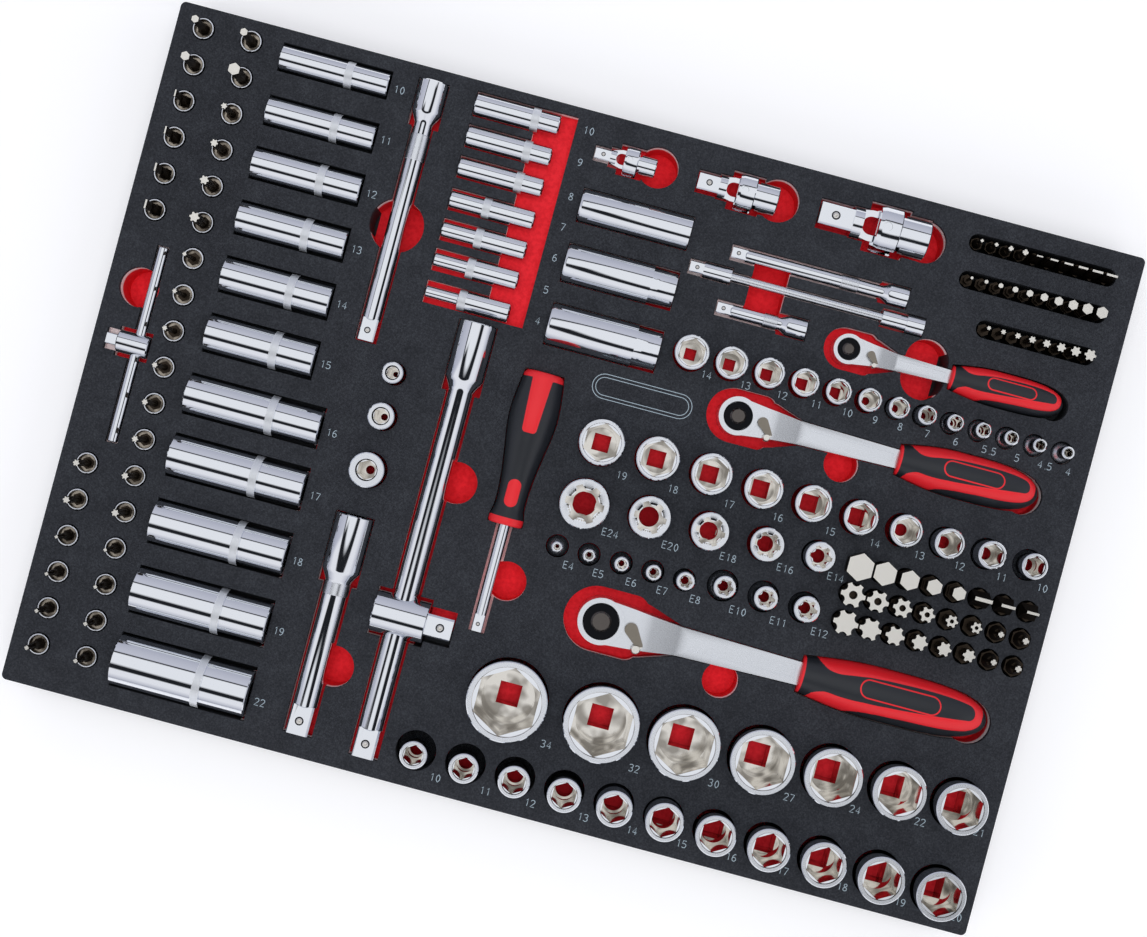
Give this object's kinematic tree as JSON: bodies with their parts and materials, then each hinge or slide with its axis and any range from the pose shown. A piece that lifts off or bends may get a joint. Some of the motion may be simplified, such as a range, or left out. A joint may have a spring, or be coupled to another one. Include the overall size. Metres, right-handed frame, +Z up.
{
  "type": "socket wrench set",
  "caption": "Socket wrench set in a two-colour foam tray, with sockets, bits, ratchets, extensions and universal joints that lift out.",
  "frame": {"origin": "centre of the tray's underside", "axes": "+X along the tray, +Y across it, +Z up out of the tray"},
  "size_m": [0.565, 0.397, 0.059],
  "materials": {
    "foam_red": "matte closed-cell foam",
    "foam_dark": "matte closed-cell foam",
    "polished_chrome": "mirror",
    "satin_chrome": "satin",
    "burnished_steel": "burnished",
    "sleeve_rubber": "matte",
    "grip_dark": "soft matte",
    "grip_red": "soft matte",
    "lever_steel": "satin"
  },
  "bodies": {
    "tray": {"foam_base": "foam_red", "foam_top": "foam_dark"},
    "bit_socket_set": {"bit_socket_sleeves": "polished_chrome", "bit_socket_blades": "burnished_steel"},
    "half_set": {"half_sockets": "polished_chrome"},
    "three_eighths_set": {"three_eighths_sockets": "polished_chrome"},
    "quarter_set": {"quarter_sockets": "polished_chrome"},
    "star_set": {"star_sockets": "polished_chrome"},
    "deep_half_set": {"deep_half_sockets": "polished_chrome"},
    "deep_three_eighths_set": {"deep_three_eighths_sockets": "polished_chrome"},
    "deep_quarter_set": {"deep_quarter_sockets": "polished_chrome"},
    "plug_set": {"plug_sockets": "polished_chrome", "plug_rubbers": "sleeve_rubber"},
    "adapter_set": {"bit_adapters": "polished_chrome"},
    "small_bit_set": {"small_bits": "burnished_steel"},
    "large_bit_set": {"large_bits": "burnished_steel"},
    "half_extension_long": {"half_extension_long": "polished_chrome"},
    "half_extension_short": {"half_extension_short": "polished_chrome"},
    "three_eighths_extension": {"three_eighths_extension": "polished_chrome"},
    "quarter_extension_long": {"quarter_extension_long": "polished_chrome"},
    "quarter_extension_short": {"quarter_extension_short": "polished_chrome"},
    "flexible_extension": {"flex_ends": "polished_chrome", "flex_core": "satin_chrome"},
    "tbar": {"tbar_rod": "polished_chrome"},
    "tbar_head": {"tbar_head": "polished_chrome"},
    "slider_head": {"slider_head": "polished_chrome"},
    "spinner": {"spinner_handle": "grip_dark", "spinner_inlays": "grip_red", "spinner_shaft": "polished_chrome"},
    "joint_yoke_0": {"joint_yoke_0": "polished_chrome"},
    "joint_cross_0": {"joint_cross_0": "polished_chrome"},
    "joint_socket_0": {"joint_socket_0": "polished_chrome"},
    "ratchet_0": {"ratchet_body_0": "satin_chrome", "ratchet_grip_0": "grip_dark", "ratchet_inlay_0": "grip_red"},
    "ratchet_gear_0": {"ratchet_gear_0": "burnished_steel"},
    "ratchet_button_0": {"ratchet_button_0": "polished_chrome"},
    "ratchet_lever_0": {"ratchet_lever_0": "lever_steel", "ratchet_pawl_0": "lever_steel"},
    "joint_yoke_1": {"joint_yoke_1": "polished_chrome"},
    "joint_cross_1": {"joint_cross_1": "polished_chrome"},
    "joint_socket_1": {"joint_socket_1": "polished_chrome"},
    "ratchet_1": {"ratchet_body_1": "satin_chrome", "ratchet_grip_1": "grip_dark", "ratchet_inlay_1": "grip_red"},
    "ratchet_gear_1": {"ratchet_gear_1": "burnished_steel"},
    "ratchet_button_1": {"ratchet_button_1": "polished_chrome"},
    "ratchet_lever_1": {"ratchet_lever_1": "lever_steel", "ratchet_pawl_1": "lever_steel"},
    "joint_yoke_2": {"joint_yoke_2": "polished_chrome"},
    "joint_cross_2": {"joint_cross_2": "polished_chrome"},
    "joint_socket_2": {"joint_socket_2": "polished_chrome"},
    "ratchet_2": {"ratchet_body_2": "satin_chrome", "ratchet_grip_2": "grip_dark", "ratchet_inlay_2": "grip_red"},
    "ratchet_gear_2": {"ratchet_gear_2": "burnished_steel"},
    "ratchet_button_2": {"ratchet_button_2": "polished_chrome"},
    "ratchet_lever_2": {"ratchet_lever_2": "lever_steel", "ratchet_pawl_2": "lever_steel"}
  },
  "joints": [
    {"name": "lift_bit_socket_set", "type": "slide", "parent": "tray", "child": "bit_socket_set", "axis": [0, 0, 1], "range_m": [0, 0.08]},
    {"name": "lift_half_set", "type": "slide", "parent": "tray", "child": "half_set", "axis": [0, 0, 1], "range_m": [0, 0.08]},
    {"name": "lift_three_eighths_set", "type": "slide", "parent": "tray", "child": "three_eighths_set", "axis": [0, 0, 1], "range_m": [0, 0.08]},
    {"name": "lift_quarter_set", "type": "slide", "parent": "tray", "child": "quarter_set", "axis": [0, 0, 1], "range_m": [0, 0.08]},
    {"name": "lift_star_set", "type": "slide", "parent": "tray", "child": "star_set", "axis": [0, 0, 1], "range_m": [0, 0.08]},
    {"name": "lift_deep_half_set", "type": "slide", "parent": "tray", "child": "deep_half_set", "axis": [0, 0, 1], "range_m": [0, 0.08]},
    {"name": "lift_deep_three_eighths_set", "type": "slide", "parent": "tray", "child": "deep_three_eighths_set", "axis": [0, 0, 1], "range_m": [0, 0.08]},
    {"name": "lift_deep_quarter_set", "type": "slide", "parent": "tray", "child": "deep_quarter_set", "axis": [0, 0, 1], "range_m": [0, 0.08]},
    {"name": "lift_plug_set", "type": "slide", "parent": "tray", "child": "plug_set", "axis": [0, 0, 1], "range_m": [0, 0.08]},
    {"name": "lift_adapter_set", "type": "slide", "parent": "tray", "child": "adapter_set", "axis": [0, 0, 1], "range_m": [0, 0.08]},
    {"name": "lift_small_bit_set", "type": "slide", "parent": "tray", "child": "small_bit_set", "axis": [0, 0, 1], "range_m": [0, 0.08]},
    {"name": "lift_large_bit_set", "type": "slide", "parent": "tray", "child": "large_bit_set", "axis": [0, 0, 1], "range_m": [0, 0.08]},
    {"name": "lift_half_extension_long", "type": "slide", "parent": "tray", "child": "half_extension_long", "axis": [0, 0, 1], "range_m": [0, 0.15]},
    {"name": "lift_half_extension_short", "type": "slide", "parent": "tray", "child": "half_extension_short", "axis": [0, 0, 1], "range_m": [0, 0.08]},
    {"name": "lift_three_eighths_extension", "type": "slide", "parent": "tray", "child": "three_eighths_extension", "axis": [0, 0, 1], "range_m": [0, 0.08]},
    {"name": "lift_quarter_extension_long", "type": "slide", "parent": "tray", "child": "quarter_extension_long", "axis": [0, 0, 1], "range_m": [0, 0.08]},
    {"name": "lift_quarter_extension_short", "type": "slide", "parent": "tray", "child": "quarter_extension_short", "axis": [0, 0, 1], "range_m": [0, 0.08]},
    {"name": "lift_flexible_extension", "type": "slide", "parent": "tray", "child": "flexible_extension", "axis": [0, 0, 1], "range_m": [0, 0.08]},
    {"name": "lift_tbar", "type": "slide", "parent": "tray", "child": "tbar", "axis": [0, 0, 1], "range_m": [0, 0.15]},
    {"name": "lift_spinner", "type": "slide", "parent": "tray", "child": "spinner", "axis": [0, 0, 1], "range_m": [0, 0.08]},
    {"name": "lift_joint_yoke_0", "type": "slide", "parent": "tray", "child": "joint_yoke_0", "axis": [0, 0, 1], "range_m": [0, 0.15]},
    {"name": "lift_ratchet_0", "type": "slide", "parent": "tray", "child": "ratchet_0", "axis": [0, 0, 1], "range_m": [0, 0.08]},
    {"name": "lift_joint_yoke_1", "type": "slide", "parent": "tray", "child": "joint_yoke_1", "axis": [0, 0, 1], "range_m": [0, 0.15]},
    {"name": "lift_ratchet_1", "type": "slide", "parent": "tray", "child": "ratchet_1", "axis": [0, 0, 1], "range_m": [0, 0.08]},
    {"name": "lift_joint_yoke_2", "type": "slide", "parent": "tray", "child": "joint_yoke_2", "axis": [0, 0, 1], "range_m": [0, 0.15]},
    {"name": "lift_ratchet_2", "type": "slide", "parent": "tray", "child": "ratchet_2", "axis": [0, 0, 1], "range_m": [0, 0.08]},
    {"name": "tilt_joint_0", "type": "hinge", "parent": "joint_yoke_0", "child": "joint_cross_0", "pos_m": [-0.01417, 0.1761, 0.038], "axis": [0, -1, 0], "range_deg": [0, 20]},
    {"name": "swing_joint_0", "type": "hinge", "parent": "joint_cross_0", "child": "joint_socket_0", "pos_m": [-0.01417, 0.1761, 0.038], "axis": [0, 0, 1], "range_deg": [0, 16.4]},
    {"name": "tilt_joint_1", "type": "hinge", "parent": "joint_yoke_1", "child": "joint_cross_1", "pos_m": [0.0527, 0.1758, 0.038], "axis": [0, -1, 0], "range_deg": [0, 20]},
    {"name": "swing_joint_1", "type": "hinge", "parent": "joint_cross_1", "child": "joint_socket_1", "pos_m": [0.0527, 0.1758, 0.038], "axis": [0, 0, 1], "range_deg": [0, 16.4]},
    {"name": "tilt_joint_2", "type": "hinge", "parent": "joint_yoke_2", "child": "joint_cross_2", "pos_m": [0.1348, 0.176, 0.038], "axis": [0, -1, 0], "range_deg": [0, 20]},
    {"name": "swing_joint_2", "type": "hinge", "parent": "joint_cross_2", "child": "joint_socket_2", "pos_m": [0.1348, 0.176, 0.038], "axis": [0, 0, 1], "range_deg": [0, 16.4]},
    {"name": "slide_tbar_head", "type": "slide", "parent": "tbar", "child": "tbar_head", "axis": [0, 1, 0], "range_m": [0, 0.015]},
    {"name": "slide_slider_head", "type": "slide", "parent": "half_extension_long", "child": "slider_head", "axis": [0, 1, 0], "range_m": [0, 0.015]},
    {"name": "turn_gear_0", "type": "hinge", "parent": "ratchet_0", "child": "ratchet_gear_0", "pos_m": [0.1326, 0.1054, 0.036], "axis": [0, 0, 1], "continuous": true},
    {"name": "press_button_0", "type": "slide", "parent": "ratchet_gear_0", "child": "ratchet_button_0", "axis": [0, 0, -1], "range_m": [0, 0.002], "stiffness_N_per_m": 300},
    {"name": "turn_lever_0", "type": "hinge", "parent": "ratchet_0", "child": "ratchet_lever_0", "pos_m": [0.1456, 0.1054, 0.036], "axis": [0, 0, 1], "range_deg": [0, 60]},
    {"name": "turn_gear_1", "type": "hinge", "parent": "ratchet_1", "child": "ratchet_gear_1", "pos_m": [0.0819, 0.0526, 0.036], "axis": [0, 0, 1], "continuous": true},
    {"name": "press_button_1", "type": "slide", "parent": "ratchet_gear_1", "child": "ratchet_button_1", "axis": [0, 0, -1], "range_m": [0, 0.002], "stiffness_N_per_m": 300},
    {"name": "turn_lever_1", "type": "hinge", "parent": "ratchet_1", "child": "ratchet_lever_1", "pos_m": [0.0963, 0.0526, 0.036], "axis": [0, 0, 1], "range_deg": [0, 60]},
    {"name": "turn_gear_2", "type": "hinge", "parent": "ratchet_2", "child": "ratchet_gear_2", "pos_m": [0.0372, -0.079, 0.036], "axis": [0, 0, 1], "continuous": true},
    {"name": "press_button_2", "type": "slide", "parent": "ratchet_gear_2", "child": "ratchet_button_2", "axis": [0, 0, -1], "range_m": [0, 0.002], "stiffness_N_per_m": 300},
    {"name": "turn_lever_2", "type": "hinge", "parent": "ratchet_2", "child": "ratchet_lever_2", "pos_m": [0.0548, -0.079, 0.036], "axis": [0, 0, 1], "range_deg": [0, 60]}
  ],
  "couplings": [
    {"joint": "swing_joint_0", "follows": "lift_joint_yoke_0", "rad_per_m": 1.9},
    {"joint": "swing_joint_1", "follows": "lift_joint_yoke_1", "rad_per_m": 1.9},
    {"joint": "swing_joint_2", "follows": "lift_joint_yoke_2", "rad_per_m": 1.9},
    {"joint": "slide_tbar_head", "follows": "lift_tbar", "ratio": 0.1},
    {"joint": "slide_slider_head", "follows": "lift_half_extension_long", "ratio": 0.1}
  ]
}
